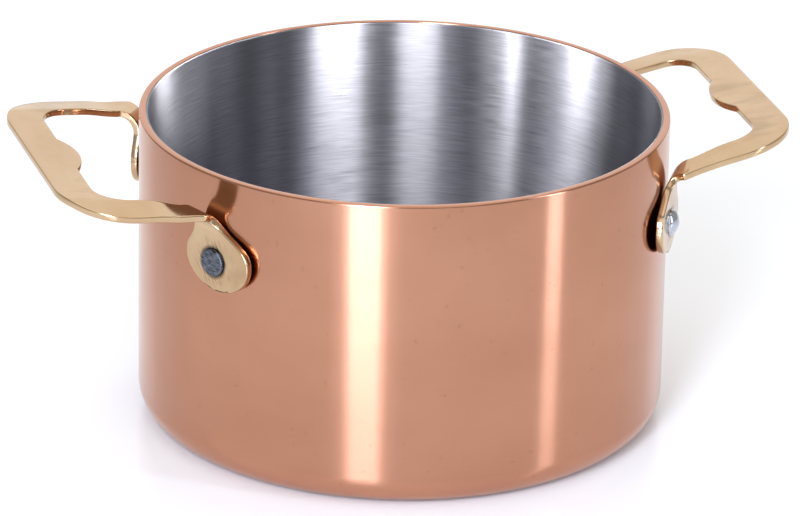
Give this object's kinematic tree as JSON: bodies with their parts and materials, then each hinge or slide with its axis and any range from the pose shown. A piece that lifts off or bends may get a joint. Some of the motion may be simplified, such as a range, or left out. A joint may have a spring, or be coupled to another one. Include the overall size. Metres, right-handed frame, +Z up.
{
  "type": "casserole pot",
  "caption": "Small round straight-sided copper casserole with a steel lining and riveted brass loop handles on opposite sides.",
  "frame": {"origin": "centre of the base's underside, on the surface that the pot stands on", "axes": "+X from the pot's centre towards the right handle, +Y to the back, +Z up through the open top"},
  "size_m": [0.1726, 0.12, 0.072],
  "materials": {
    "copper": "polished copper",
    "liner_steel": "brushed in circles round the wall",
    "brass": "polished",
    "rivet_steel": "satin"
  },
  "bodies": {
    "root": {"copper_shell": "copper", "steel_liner": "liner_steel", "handle_left": "brass", "handle_right": "brass", "rivet_left_front": "rivet_steel", "rivet_left_back": "rivet_steel", "rivet_right_front": "rivet_steel", "rivet_right_back": "rivet_steel"}
  },
  "joints": []
}
